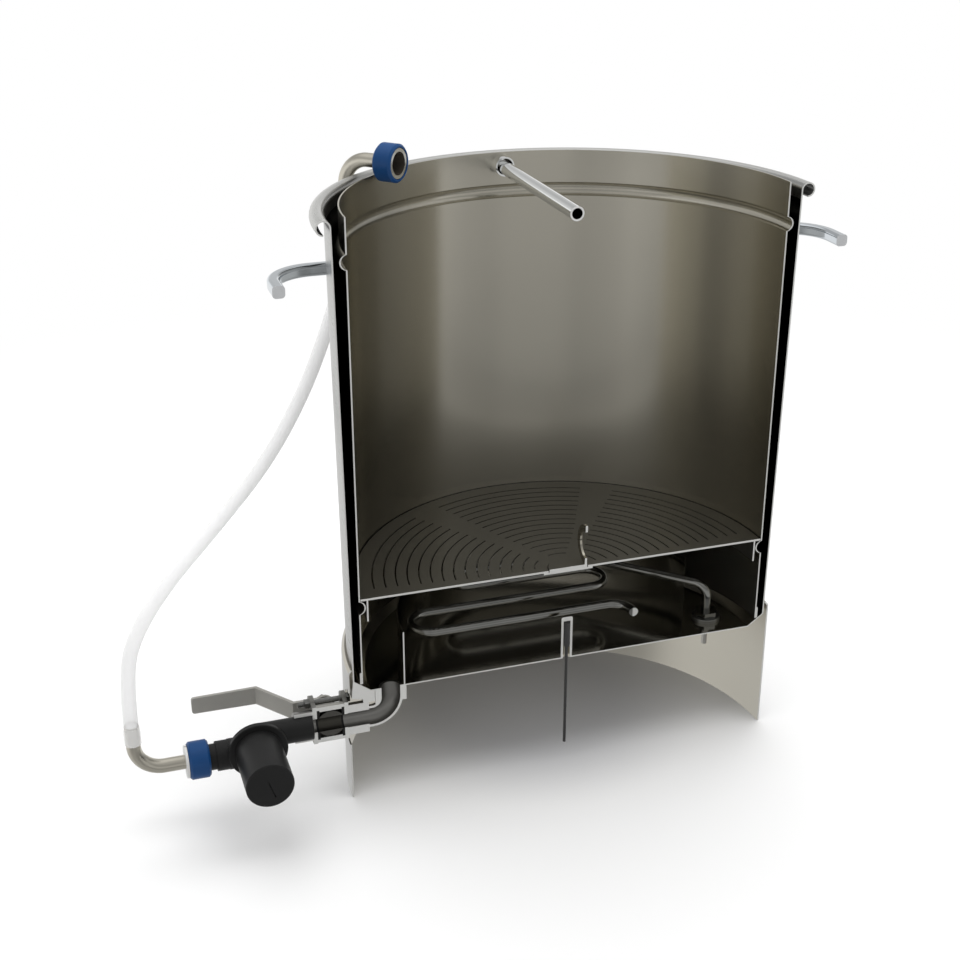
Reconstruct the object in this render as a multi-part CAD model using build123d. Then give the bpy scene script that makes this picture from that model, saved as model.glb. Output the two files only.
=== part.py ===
"""Single vessel brewing system, shown cut in half along the kettle's axis.

The kettle's axis is the Z axis and the floor is Z = 0.  The cut plane is Y = 0:
the vessel's back half (Y > 0) stands, with the drain valve cut through its bore.
The pump, the union nuts, the return pipes and the hose are whole.
Lengths are millimetres.
"""
from build123d import *
import math
import os

# Kettle
kettle_top_radius = 200.0        # outside, just under the rim
kettle_taper = 3.7               # by which the radius is smaller at the bottom corner
kettle_wall = 1.2
bottom_height = 107.4            # inside face of the flat bottom
corner_rise = 11.8               # from the bottom's underside to where the wall begins
corner_width = 15.1              # of the sloping corner
rim_height = 521.8               # top of the rolled rim
rim_roll = 6.2                   # outside radius of the roll
# Skirt base
skirt_step = 4.5                 # from the kettle's base out to the skirt's face
skirt_wall = 1.4
skirt_overlap = 8.4              # above the height where the kettle's wall begins
lip_rise = 3.6
lip_gap = 0.3
lip_edge = 0.6
skirt_drain_radius = 26.3        # hole that the drain passes through
skirt_drain_rise = 0.8           # of that hole's centre above the drain's
# Malt pipe
wall_gap = 6.5                   # between the malt pipe and the kettle's base
pipe_wall = 1.2
pipe_rise = 1.4                  # of its top above the kettle's rim
pipe_foot_gap = 0.3
upper_bead_drop = 35.2           # below the malt pipe's top
upper_bead_depth = 5.0
lower_bead_rise = 81.0           # above the kettle's bottom
lower_bead_depth = 4.9
bead_half_width = 6.2
band_wall = 1.4
band_height = 11.0
# False bottom
plate_wall = 1.8
plate_clearance = 0.4
plate_rest = 0.4                 # height of the plate above the bead's root
slot_width = 1.4
slot_pitch = 10.15
slot_margin_outer = 15.4         # from the plate's edge to the first ring of slots
slot_margin_inner = 6.0          # the least from the hub disc to the last ring of slots
slot_bridge_angle = 5.2          # half of the bridge between two sectors
slot_bridge_width = 7.0          # the least half width of a bridge
slot_sector = 60.0
plate_ring_inset = 5.2           # from the plate's edge to the ring under it
plate_ring_wall = 1.4
plate_ring_depth = 20.0
hub_radius = 17.6
hub_gap = 0.8
hub_flange = 4.5
hub_flange_wall = 1.8
hub_rise = 1.0
# Lift ring of the false bottom
lift_ring_radius = 18.6
lift_ring_band = 6.0
lift_ring_wall = 2.0
lift_ring_inset = 0.3            # from the edge of the hub disc
lift_ring_foot = 5.0
lift_ring_foot_height = 2.0
# Lift bar across the malt pipe
bar_radius = 6.0
bar_bore = 4.5
bar_drop = 11.9                  # of its axis below the malt pipe's top
bar_overhang = 3.8               # beyond the malt pipe's face
bar_seat = 0.3
sleeve_gap = 1.3
sleeve_wall = 1.4
sleeve_length = 11.0
# Handles
handle_bar = 10.0
handle_corner = 3.0
handle_drop = 52.2               # below the rim
handle_standoff = 41.2           # from the kettle's top radius to the middle of the grip
handle_bend = 36.0
handle_straight = 18.0
handle_weld_gap = 0.05
# Heating element
tube_radius = 4.15
element_rise = 34.6              # of its axis above the kettle's bottom
first_leg = 20.9                 # distance of the first leg behind the cut plane
right_bend_x = 46.2
left_bend_gap = 7.0              # between the left bend and the shroud
last_bend_gap = 4.5              # between the last bend and the shroud
last_bend_x = -60.0
last_bend_radius = 16.0
crossing_bend = 20.0
riser_bend = 13.0
riser_inset = 0.6                # of its axis from the shroud's face
riser_y = 26.9
gland_flange_radius = 13.2
gland_flange_height = 3.6
gland_flange_round = 1.0
gland_nut_size = 19.0
gland_nut_height = 5.0
lower_nut_height = 4.0
terminal_radius = 2.6
terminal_length = 26.0
# Shroud round the heated zone
shroud_inset = 30.1              # from the edge of the flat bottom
shroud_wall = 1.2
shroud_height = 51.6
shroud_start_angle = 21.3
# Thermowell and probe
well_radius = 5.3
well_bore = 3.2
well_height = 40.6
well_cap = 4.2
well_round = 1.8
probe_clearance = 0.4
probe_top_gap = 1.0
probe_length = 24.0
lead_radius = 1.4
lead_end_height = 17.6
# Drain line and ball valve
drain_drop = 25.6                # of its axis below the bottom's underside
drain_inset = 18.2               # from the edge of the flat bottom to the upright run
elbow_bore = 8.4
elbow_wall = 2.2
elbow_bend = 17.0
elbow_run = 20.0                 # from the upright run's axis to the elbow's end
collar_wall = 3.4
collar_height = 14.0
boss_angle = 4.4
boss_skirt_gap = 1.5
boss_collar_gap = 0.35
boss_edge_drop = 4.4             # of the wedge's outer edge below the bottom's underside
boss_depth = 13.2                # of its thick part below the bottom's underside
boss_step_width = 10.4
boss_step_fall = 2.6
boss_step_slant = 0.6
nipple_radius = 15.0
nipple_bore = 7.3
nipple_length = 18.1
port_radius = 6.8
valve_radius = 17.5
cavity_gap = 0.8                 # between the ball and the body
body_half_length = 12.1
flange_thickness = 3.8
flange_half = 18.3
flange_corner = 4.0
ear_radius = 6.5
bolt_offset = 14.6
bolt_radius = 2.5
bolt_hole_gap = 0.2
bolt_tail = 6.0
hex_size = 8.0
head_height = 4.0
seat_thickness = 2.3
seat_radius = 14.6
ball_radius = 12.4
ball_gap = 0.08
sleeve_radius = 14.5
sleeve_inner = 11.25
sleeve_reach = 16.0
stem_radius = 4.5
stem_gap = 0.08
stem_tip = 1.5                   # of the stem beyond the lever's nut
tang_width = 4.8
tang_depth = 2.6
tang_gap = 0.1
bonnet_radius = 9.0
bonnet_top = 24.0
packing_radius = 7.0
packing_depth = 5.0
gland_size = 15.0
gland_height = 4.0
lever_wall = 3.0
lever_gap = 0.6
lever_hub = 10.0
lever_width = 16.6
lever_tip_width = 15.4
lever_corner = 2.5
lever_flat = 26.0                # from the stem to the crank
lever_crank = 26.9
lever_offset = 35.5
lever_grip = 58.1
lever_nut_size = 14.0
lever_nut_height = 4.5
# Pump
pump_offset = 66.0               # of its shaft beyond the valve's stem
pump_drop = 6.3                  # of its shaft below the drain
volute_front = 13.5              # of the volute's open face in front of the drain's axis
ring_radius = 25.5
ring_thickness = 5.0
ring_edge = 0.6
volute_radius = 20.4
volute_depth = 16.5
volute_edge = 5.0
volute_cavity = 18.6
cavity_depth = 12.0
motor_radius = 20.2
motor_length = 53.0
motor_spigot = 2.0               # into the volute's cavity
end_cap_length = 8.0
end_cap_edge = 0.8
rotor_radius = 8.6
rotor_gap = 0.6
rotor_length = 30.0
rotor_end_gap = 1.0
impeller_gap = 1.6               # between the impeller and the cavity's wall
impeller_setback = 3.0           # from the motor's face to the impeller
impeller_disc = 2.4
impeller_hub = 5.0
vane_height = 5.0
vane_wall = 1.6
vane_count = 6
shaft_radius = 2.0
shaft_gap = 0.05
shaft_end_gap = 0.3
bush_radius = 4.0
bush_length = 2.5
inlet_gap = 0.25                 # between the inlet stub and the valve's sleeve
inlet_end_gap = 1.0
inlet_bore = 7.6
outlet_drop = 6.3                # of the outlet below the shaft
outlet_neck_radius = 13.2
outlet_core_radius = 11.2
outlet_radius = 12.8
outlet_bore = 7.0
outlet_neck = 24.0               # from the shaft to the outlet's collar
outlet_collar = 10.5
outlet_thread_gap = 0.4
outlet_thread_setback = 1.2      # from the nut's open end
cap_slit_length = 16.0
cap_slit_width = 1.0
cap_slit_depth = 1.2
cap_slit_angle = 19.0
# Unions and return pipes
return_radius = 6.0
return_bore = 4.5
union_nut_radius = 16.2
union_nut_length = 17.6
union_nut_bore = 13.2
union_lip = 3.5
union_lip_gap = 0.35
nut_chamfer = 1.7
ferrule_gap = 0.5                # between the ferrule and the nut
ferrule_bore = 9.8
ferrule_depth = 12.0             # of the wide part of the ferrule's bore
pipe_depth = 13.0                # from the nut's open end to the pipe's end
ferrule_neck = 8.6
ferrule_tail = 2.0               # of the neck beyond the nut
lower_flange_radius = 14.2
lower_flange_end = 2.4           # beyond the nut
gasket_thickness = 1.6
lower_union_gap = 6.0            # between the outlet's collar and the nut
lower_face_depth = 11.6          # from the nut's open end to the ferrule's face
upper_face_depth = 0.5
lower_bend = 24.0
lower_pipe_reach = 61.0          # from the nut's open end to the upright run
lower_pipe_rise = 44.0
return_angle = 133.0
return_clearance = 4.8           # between the malt pipe's top and the pipe over it
upper_bend = 23.5
drop_gap = 2.8                   # between the kettle's rim and the pipe outside it
upper_pipe_drop = 54.0
union_overhang = 22.4            # of the upper nut's open end beyond the malt pipe's wall
# Hose
hose_radius = 6.0
hose_bore = 4.5
cuff_wall = 1.0
cuff_length = 17.6
hose_low_run = 38.0
hose_top_run = 34.0
hose_points = [
    (-377.0, 5.5, 187.0),
    (-346.0, 26.0, 221.0),
    (-297.0, 60.0, 252.0),
    (-243.0, 97.0, 290.0),
    (-201.0, 126.0, 340.0),
    (-171.0, 146.5, 396.0),
]

# Places worked out from the sizes above
kettle_base_radius = kettle_top_radius - kettle_taper
bottom_low = bottom_height - kettle_wall
corner_height = bottom_low + corner_rise
flat_radius = kettle_base_radius - corner_width
corner_slope = corner_rise / corner_width
skirt_radius = kettle_base_radius + skirt_step
skirt_height = corner_height + skirt_overlap
pipe_radius = kettle_base_radius - kettle_wall - wall_gap
pipe_inner = pipe_radius - pipe_wall
pipe_top = rim_height + pipe_rise
band_outer = pipe_radius + band_wall
pipe_foot = bottom_height + (band_outer - flat_radius) * corner_slope + pipe_foot_gap
upper_bead_height = pipe_top - upper_bead_drop
lower_bead_height = bottom_height + lower_bead_rise
plate_radius = pipe_inner - plate_clearance
plate_low = lower_bead_height + bead_half_width + plate_rest
plate_top = plate_low + plate_wall
hub_hole = hub_radius + hub_gap
hub_flange_radius = hub_hole + hub_flange
hub_top = plate_top + hub_rise
slot_room = plate_radius - slot_margin_outer - hub_flange_radius - slot_margin_inner
slot_rings = 1 + int(slot_room / slot_pitch)
lift_ring_offset = hub_radius - lift_ring_inset - lift_ring_wall / 2
bar_height = pipe_top - bar_drop
sleeve_bore = bar_radius + sleeve_gap
sleeve_height = bar_height - bar_radius - bar_seat + sleeve_bore
handle_height = rim_height - handle_drop
handle_reach = kettle_top_radius + handle_standoff
shroud_radius = flat_radius - shroud_inset
shroud_inner = shroud_radius - shroud_wall
shroud_top = bottom_height + shroud_height
element_height = bottom_height + element_rise
riser_x = shroud_radius - riser_inset
last_centre_radius = shroud_inner - last_bend_gap - tube_radius - last_bend_radius
last_centre_y = math.sqrt(last_centre_radius ** 2 - last_bend_x ** 2)
leg_pitch = (last_centre_y - last_bend_radius - first_leg) / 2
leg_radius = leg_pitch / 2
left_centre_radius = shroud_inner - left_bend_gap - tube_radius - leg_radius
left_bend_x = -math.sqrt(left_centre_radius ** 2 - (first_leg + leg_radius) ** 2)
well_top = bottom_height + well_height
drain_x = drain_inset - flat_radius
drain_height = bottom_low - drain_drop
elbow_radius = elbow_bore + elbow_wall
nipple_end_x = drain_x - elbow_run
valve_right = nipple_end_x - nipple_length - flange_thickness
valve_x = valve_right - body_half_length
valve_left = valve_x - body_half_length
cavity_radius = ball_radius + cavity_gap
lever_crank_x = valve_x - lever_flat
lever_crank_end_x = lever_crank_x - lever_crank
lever_tip_x = lever_crank_end_x - lever_grip
pump_x = valve_x - pump_offset
pump_height = drain_height - pump_drop
motor_face = -volute_front
inlet_radius = sleeve_inner - inlet_gap
rotor_bore = rotor_radius + rotor_gap
rotor_well_end = motor_face - rotor_length - rotor_end_gap
bearing_face = cavity_depth - volute_front
impeller_radius = volute_cavity - impeller_gap
outlet_height = pump_height - outlet_drop
outlet_collar_x = pump_x - outlet_neck
outlet_collar_end_x = outlet_collar_x - outlet_collar
lower_union_x = outlet_collar_end_x - lower_union_gap
outlet_thread_x = lower_union_x - outlet_thread_setback
outlet_end_x = lower_union_x - lower_face_depth + gasket_thickness
ferrule_radius = union_nut_bore - ferrule_gap
lower_rise_x = lower_union_x - lower_pipe_reach
lower_pipe_top = outlet_height + lower_pipe_rise
upper_pipe_height = pipe_top + return_clearance + return_radius
rim_radius = kettle_top_radius - kettle_wall + 2 * rim_roll
upper_drop_radius = rim_radius + drop_gap + return_radius
upper_pipe_low = upper_pipe_height - upper_pipe_drop
upper_union_front = pipe_inner - union_overhang
cuff_radius = return_radius + cuff_wall
far = 1000.0                     # more than any size here, for cutting tools


def half_turn(outline, angle=180.0):
    """Turn an outline in the cut plane about the kettle's axis, from +X over +Y."""
    return revolve(Plane.XZ * outline, Axis.Z, angle)


def polygon(*points):
    """A flat face with straight sides through the points."""
    return make_face(Polyline(*points, close=True))


def back_half(shape):
    """What lies behind the cut plane."""
    keep = Pos(0, far / 2, 0) * Box(2 * far, far, 2 * far)
    return shape & keep


def rod(radius, start, end):
    """A round bar between two points."""
    run = Vector(*end) - Vector(*start)
    foot = Plane(origin=start, z_dir=run.normalized())
    return extrude(foot * Circle(radius), run.length)


def tube(outer, inner, start, end):
    """A round pipe between two points."""
    return rod(outer, start, end) - rod(inner, start, end)


def hexagon(size, start, end):
    """A six-sided bar, measured across its flats, between two points."""
    run = Vector(*end) - Vector(*start)
    foot = Plane(origin=start, z_dir=run.normalized())
    return extrude(foot * RegularPolygon(size / 2, 6, major_radius=False), run.length)


def swept(radius, path):
    """A round bar along a path."""
    return sweep(Plane(origin=path @ 0, z_dir=path % 0) * Circle(radius), path=path)


def write(name, shape):
    """Write one node's solids."""
    solids = shape.solids()
    export_step(solids[0] if len(solids) == 1 else Compound(children=solids), f"parts/{name}.step")


def kettle_wall_radius(height):
    """The wall's outside radius at a height."""
    share = (height - corner_height) / (rim_height - rim_roll - corner_height)
    return kettle_base_radius + share * (kettle_top_radius - kettle_base_radius)


def kettle_shell():
    """The tapered wall and its rolled rim."""
    roll_height = rim_height - rim_roll
    inner_top = kettle_top_radius - kettle_wall
    wall = polygon(
        (kettle_base_radius - kettle_wall, corner_height),
        (kettle_base_radius, corner_height),
        (kettle_top_radius, roll_height),
        (inner_top, roll_height),
    )
    roll = Circle(rim_roll) - Circle(rim_roll - kettle_wall)
    roll -= Pos(-rim_roll / 2, -rim_roll / 2) * Rectangle(rim_roll, rim_roll)
    roll = Pos(inner_top + rim_roll, roll_height) * roll
    return half_turn(wall) + half_turn(roll)


def kettle_floor():
    """The flat bottom with its sloping corner and its three holes."""
    outline = polygon(
        (0, bottom_low),
        (flat_radius, bottom_low),
        (kettle_base_radius, corner_height),
        (kettle_base_radius - kettle_wall, corner_height),
        (flat_radius - kettle_wall / 3, bottom_height),
        (0, bottom_height),
    )
    floor = half_turn(outline)
    below = bottom_low - 1
    above = bottom_height + 1
    floor -= rod(elbow_radius, (drain_x, 0, below), (drain_x, 0, above))
    floor -= rod(well_radius, (0, 0, below), (0, 0, above))
    floor -= rod(tube_radius, (riser_x, riser_y, below), (riser_x, riser_y, above))
    return floor


def skirt():
    """The round base that the kettle stands in, with its turned-in top edge."""
    inner = skirt_radius - skirt_wall
    lip_top = skirt_height + lip_rise
    touch = kettle_wall_radius(lip_top) + lip_gap
    outline = polygon(
        (inner, 0),
        (skirt_radius, 0),
        (skirt_radius, skirt_height),
        (touch + skirt_wall, lip_top),
        (touch, lip_top - lip_edge),
        (inner, skirt_height - lip_edge),
    )
    hole_height = drain_height + skirt_drain_rise
    hole_end = (-kettle_base_radius / 2, 0, hole_height)
    drain_hole = rod(skirt_drain_radius, (-far, 0, hole_height), hole_end)
    return half_turn(outline) - drain_hole


def handle(side):
    """Half of a U-shaped grip, from the cut plane to its weld on the wall."""
    x_bar = side * handle_reach
    x_bend = side * (handle_reach - handle_bend)
    y_arm = handle_straight + handle_bend
    middle = math.sqrt(0.5) * handle_bend
    path = Line((x_bar, 0, handle_height), (x_bar, handle_straight, handle_height))
    path += ThreePointArc(
        (x_bar, handle_straight, handle_height),
        (x_bend + side * middle, handle_straight + middle, handle_height),
        (x_bend, y_arm, handle_height),
    )
    inside_x = side * (kettle_base_radius - 2 * handle_bar)
    path += Line((x_bend, y_arm, handle_height), (inside_x, y_arm, handle_height))
    section = Plane.XZ * Pos(x_bar, handle_height) * RectangleRounded(handle_bar, handle_bar, handle_corner)
    grip = sweep(section, path=path)
    wall_face = kettle_wall_radius(handle_height + handle_bar / 2) + handle_weld_gap
    return grip - rod(wall_face, (0, 0, handle_height - handle_bar), (0, 0, handle_height + handle_bar))


def malt_pipe_wall():
    """The loose inner cylinder: a bead outwards near the top, one inwards that carries the false bottom."""
    def face_line(radius):
        low_end = lower_bead_height - bead_half_width
        low_start = lower_bead_height + bead_half_width
        high_end = upper_bead_height - bead_half_width
        high_start = upper_bead_height + bead_half_width
        low_root = (radius - lower_bead_depth, lower_bead_height)
        high_crest = (radius + upper_bead_depth, upper_bead_height)
        line = Line((radius, pipe_foot), (radius, low_end))
        line += ThreePointArc((radius, low_end), low_root, (radius, low_start))
        line += Line((radius, low_start), (radius, high_end))
        line += ThreePointArc((radius, high_end), high_crest, (radius, high_start))
        line += Line((radius, high_start), (radius, pipe_top))
        return line

    outline = face_line(pipe_radius) + face_line(pipe_inner)
    outline += Line((pipe_inner, pipe_foot), (pipe_radius, pipe_foot))
    outline += Line((pipe_inner, pipe_top), (pipe_radius, pipe_top))
    wall = half_turn(make_face(outline.edges()))
    return wall - rod(sleeve_bore, (0, pipe_inner / 2, sleeve_height), (0, far, sleeve_height))


def malt_pipe_band():
    """The hoop round the malt pipe's lower edge."""
    return half_turn(polygon(
        (pipe_radius, pipe_foot),
        (band_outer, pipe_foot),
        (band_outer, pipe_foot + band_height),
        (pipe_radius, pipe_foot + band_height),
    ))


def bar_sleeve():
    """The short sleeve on the malt pipe's wall that the lift bar passes through."""
    start = (0, pipe_inner - sleeve_length, sleeve_height)
    end = (0, pipe_inner + pipe_wall, sleeve_height)
    ring = tube(sleeve_bore + sleeve_wall, sleeve_bore, start, end)
    return ring & rod(pipe_inner, (0, 0, 0), (0, 0, pipe_top))


def lift_bar():
    """The tube that the malt pipe is lifted and hung by."""
    return tube(bar_radius, bar_bore, (0, 0, bar_height), (0, pipe_radius + bar_overhang, bar_height))


def slot_tools():
    """The ring-shaped slots of the false bottom, as cutters, sector by sector."""
    cutters = []
    first = plate_radius - slot_margin_outer
    for ring in range(slot_rings):
        radius = first - ring * slot_pitch
        margin = max(slot_bridge_angle, math.degrees(slot_bridge_width / radius))
        for sector in range(int(180 / slot_sector)):
            outline = Pos(radius, plate_low + plate_wall / 2) * Rectangle(slot_width, plate_wall * 2)
            slot = half_turn(outline, slot_sector - 2 * margin)
            cutters.append(Rot(0, 0, sector * slot_sector + margin) * slot)
    return cutters


def false_bottom():
    """The slotted plate that holds the malt."""
    plate = half_turn(polygon(
        (hub_hole, plate_low),
        (plate_radius, plate_low),
        (plate_radius, plate_top),
        (hub_hole, plate_top),
    ))
    return plate - slot_tools()


def false_bottom_ring():
    """The stiffening ring under the plate, which centres it inside the bead."""
    outer = plate_radius - plate_ring_inset
    return half_turn(polygon(
        (outer - plate_ring_wall, plate_low - plate_ring_depth),
        (outer, plate_low - plate_ring_depth),
        (outer, plate_low),
        (outer - plate_ring_wall, plate_low),
    ))


def hub_disc():
    """The stepped disc in the plate's middle hole."""
    return half_turn(polygon(
        (0, plate_low - hub_flange_wall),
        (hub_flange_radius, plate_low - hub_flange_wall),
        (hub_flange_radius, plate_low),
        (hub_radius, plate_low),
        (hub_radius, hub_top),
        (0, hub_top),
    ))


def lift_ring():
    """The upright ring that the false bottom is pulled out by."""
    centre = hub_top + lift_ring_radius
    near = lift_ring_offset - lift_ring_wall / 2
    away = lift_ring_offset + lift_ring_wall / 2
    ring = tube(lift_ring_radius, lift_ring_radius - lift_ring_band, (near, 0, centre), (away, 0, centre))
    foot = Pos(lift_ring_offset, 0, hub_top + lift_ring_foot_height / 2)
    foot *= Box(lift_ring_wall, 2 * lift_ring_foot, lift_ring_foot_height)
    return back_half(ring + foot)


def heating_element():
    """The bent tube that heats the wort: four legs, a crossing run and a riser."""
    z = element_height
    y_a = first_leg
    y_b = y_a + leg_pitch
    y_c = y_b + leg_pitch
    y_d = y_c + 2 * last_bend_radius
    first_centre = y_a - leg_radius
    start_x = right_bend_x + math.sqrt(leg_radius ** 2 - first_centre ** 2)
    half = math.sqrt(0.5)
    slope_start = Vector(crossing_bend * half, -crossing_bend * (1 - half), 0)
    run_length = y_d - crossing_bend * (1 - half) - riser_y - riser_bend * half
    corner_x = riser_x - riser_bend * half - run_length - slope_start.X
    run_start = (corner_x + slope_start.X, y_d + slope_start.Y, z)
    run_end = (riser_x - riser_bend * half, riser_y + riser_bend * half, z)
    drop = riser_bend * half
    path = ThreePointArc(
        (start_x, 0, z),
        (right_bend_x + leg_radius * math.cos(math.radians(40)),
         first_centre + leg_radius * math.sin(math.radians(40)), z),
        (right_bend_x, y_a, z),
    )
    path += Line((right_bend_x, y_a, z), (left_bend_x, y_a, z))
    path += ThreePointArc((left_bend_x, y_a, z), (left_bend_x - leg_radius, y_a + leg_radius, z),
                          (left_bend_x, y_b, z))
    path += Line((left_bend_x, y_b, z), (right_bend_x, y_b, z))
    path += ThreePointArc((right_bend_x, y_b, z), (right_bend_x + leg_radius, y_b + leg_radius, z),
                          (right_bend_x, y_c, z))
    path += Line((right_bend_x, y_c, z), (last_bend_x, y_c, z))
    path += ThreePointArc((last_bend_x, y_c, z), (last_bend_x - last_bend_radius, y_c + last_bend_radius, z),
                          (last_bend_x, y_d, z))
    path += Line((last_bend_x, y_d, z), (corner_x, y_d, z))
    quarter = math.radians(22.5)
    path += ThreePointArc(
        (corner_x, y_d, z),
        (corner_x + crossing_bend * math.sin(quarter), y_d - crossing_bend * (1 - math.cos(quarter)), z),
        run_start,
    )
    path += Line(run_start, run_end)
    path += ThreePointArc(
        run_end,
        (run_end[0] + drop * half, run_end[1] - drop * half, z - riser_bend * (1 - half)),
        (riser_x, riser_y, z - riser_bend),
    )
    path += Line((riser_x, riser_y, z - riser_bend), (riser_x, riser_y, bottom_low))
    return back_half(swept(tube_radius, path))


def element_gland():
    """The flange and nut that seal the element's riser to the bottom."""
    foot = (riser_x, riser_y, bottom_height)
    flange_top = (riser_x, riser_y, bottom_height + gland_flange_height)
    flange = tube(gland_flange_radius, tube_radius, foot, flange_top)
    return flange.fillet(gland_flange_round, flange.edges().group_by(Axis.Z)[-1].sort_by(SortBy.LENGTH)[-1:])


def element_nut():
    """The hexagon nut on the element's flange."""
    low = bottom_height + gland_flange_height
    start = (riser_x, riser_y, low)
    end = (riser_x, riser_y, low + gland_nut_height)
    return hexagon(gland_nut_size, start, end) - rod(tube_radius, start, end)


def element_terminal():
    """The lock nut and the terminal pin under the bottom."""
    start = (riser_x, riser_y, bottom_low)
    nut_end = (riser_x, riser_y, bottom_low - lower_nut_height)
    pin_end = (riser_x, riser_y, bottom_low - terminal_length)
    return hexagon(gland_nut_size, start, nut_end) + rod(terminal_radius, nut_end, pin_end)


def element_shroud():
    """The upright ring that keeps the malt dust in front of the drain off the heated zone."""
    wall = half_turn(polygon(
        (shroud_radius - shroud_wall, bottom_height),
        (shroud_radius, bottom_height),
        (shroud_radius, shroud_top),
        (shroud_radius - shroud_wall, shroud_top),
    ), 180 - shroud_start_angle)
    return Rot(0, 0, shroud_start_angle) * wall


def thermowell():
    """The blind tube that the temperature probe is pushed into."""
    outer = polygon((0, bottom_low), (well_radius, bottom_low), (well_radius, well_top), (0, well_top))
    outer = fillet(outer.vertices().sort_by(Axis.Y)[-2:].sort_by(Axis.X)[-1:], well_round)
    inner = Pos(well_bore / 2, (bottom_low + well_top - well_cap) / 2)
    inner *= Rectangle(well_bore, well_top - well_cap - bottom_low)
    return half_turn(outer - inner)


def probe():
    """The temperature probe's steel tip."""
    top = well_top - well_cap - probe_top_gap
    return rod(well_bore - probe_clearance, (0, 0, top - probe_length), (0, 0, top))


def probe_lead():
    """The probe's lead, hanging straight down."""
    top = well_top - well_cap - probe_top_gap - probe_length
    return rod(lead_radius, (0, 0, lead_end_height), (0, 0, top))


def elbow_path():
    """The drain's centre line, from the valve up into the kettle's bottom."""
    turn_x = drain_x - elbow_bend
    half = elbow_bend * math.sqrt(0.5)
    path = Line((nipple_end_x, 0, drain_height), (turn_x, 0, drain_height))
    path += ThreePointArc(
        (turn_x, 0, drain_height),
        (turn_x + half, 0, drain_height + elbow_bend - half),
        (drain_x, 0, drain_height + elbow_bend),
    )
    path += Line((drain_x, 0, drain_height + elbow_bend), (drain_x, 0, bottom_height))
    return path


def drain_elbow():
    """The bent pipe under the kettle."""
    path = elbow_path()
    return back_half(swept(elbow_radius, path) - swept(elbow_bore, path))


def drain_collar():
    """The thick weld collar round the elbow, under the bottom."""
    high = (drain_x, 0, bottom_low)
    low = (drain_x, 0, bottom_low - collar_height)
    collar = rod(elbow_radius + collar_wall, low, high)
    return back_half(collar - swept(elbow_radius, elbow_path()))


def drain_boss():
    """The wedge that braces the drain against the kettle's sloping corner."""
    collar_edge = -drain_x + elbow_radius + collar_wall
    outer_edge = skirt_radius - skirt_wall - boss_skirt_gap
    step = outer_edge - boss_step_width
    foot = bottom_low - boss_depth
    edge_low = bottom_low - boss_edge_drop
    outline = polygon(
        (collar_edge, foot),
        (step, foot),
        (step + boss_step_slant, edge_low - boss_step_fall),
        (outer_edge, edge_low),
        (kettle_base_radius, corner_height),
        (flat_radius, bottom_low),
        (collar_edge, bottom_low),
    )
    wedge = Rot(0, 0, 180 - boss_angle) * half_turn(outline, boss_angle)
    clear_radius = elbow_radius + collar_wall + boss_collar_gap
    collar = rod(clear_radius, (drain_x, 0, 0), (drain_x, 0, bottom_low))
    return wedge - collar - rod(nipple_radius, (-far / 2, 0, drain_height), (drain_x, 0, drain_height))


def flange_plate(x_from, x_to):
    """A valve flange: a square with an ear at each bolt."""
    face = Plane(origin=(x_from, 0, drain_height), x_dir=(0, 1, 0), z_dir=(1, 0, 0))
    outline = RectangleRounded(2 * flange_half, 2 * flange_half, flange_corner)
    for side in (-1, 1):
        outline += Pos(bolt_offset, side * bolt_offset) * Circle(ear_radius)
        outline -= Pos(bolt_offset, side * bolt_offset) * Circle(bolt_radius + bolt_hole_gap)
    return extrude(face * outline, x_to - x_from)


def on_drain(x):
    """A point on the drain's centre line."""
    return (x, 0, drain_height)


def valve_outlet_cap():
    """The end cap that the pump's inlet plugs into."""
    flange_left = valve_left - flange_thickness
    cap = flange_plate(flange_left, valve_left)
    cap += rod(sleeve_radius, on_drain(flange_left - sleeve_reach), on_drain(flange_left))
    cap -= rod(sleeve_inner, on_drain(flange_left - sleeve_reach), on_drain(flange_left))
    cap -= rod(port_radius, on_drain(flange_left - 1), on_drain(valve_left))
    return back_half(cap)


def valve_inlet_cap():
    """The end cap and nipple that join the valve to the elbow."""
    flange_right = valve_right + flange_thickness
    cap = flange_plate(valve_right, flange_right)
    cap += rod(nipple_radius, on_drain(flange_right), on_drain(nipple_end_x))
    cap -= rod(port_radius, on_drain(valve_right), on_drain(flange_right))
    cap -= rod(nipple_bore, on_drain(flange_right - 1), on_drain(nipple_end_x))
    return back_half(cap)


def valve_body():
    """The middle piece of the valve, with the bonnet that guides the stem."""
    body = rod(valve_radius, on_drain(valve_left), on_drain(valve_right))
    body += rod(bonnet_radius, (valve_x, 0, drain_height), (valve_x, bonnet_top, drain_height))
    body -= rod(cavity_radius, on_drain(valve_left), on_drain(valve_right))
    body -= rod(seat_radius, on_drain(valve_left), on_drain(valve_left + seat_thickness))
    body -= rod(seat_radius, on_drain(valve_right - seat_thickness), on_drain(valve_right))
    body -= rod(stem_radius + stem_gap, (valve_x, 0, drain_height), (valve_x, bonnet_top, drain_height))
    packing_low = bonnet_top - packing_depth
    body -= rod(packing_radius, (valve_x, packing_low, drain_height), (valve_x, bonnet_top, drain_height))
    return back_half(body)


def bore_half_turn(outline):
    """Turn an outline, drawn from the ball's centre, half way about the drain's bore, over +Y."""
    plane = Plane(origin=on_drain(valve_x), x_dir=(1, 0, 0), z_dir=(0, -1, 0))
    return revolve(plane * outline, Axis(on_drain(valve_x), (-1, 0, 0)), 180)


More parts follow.
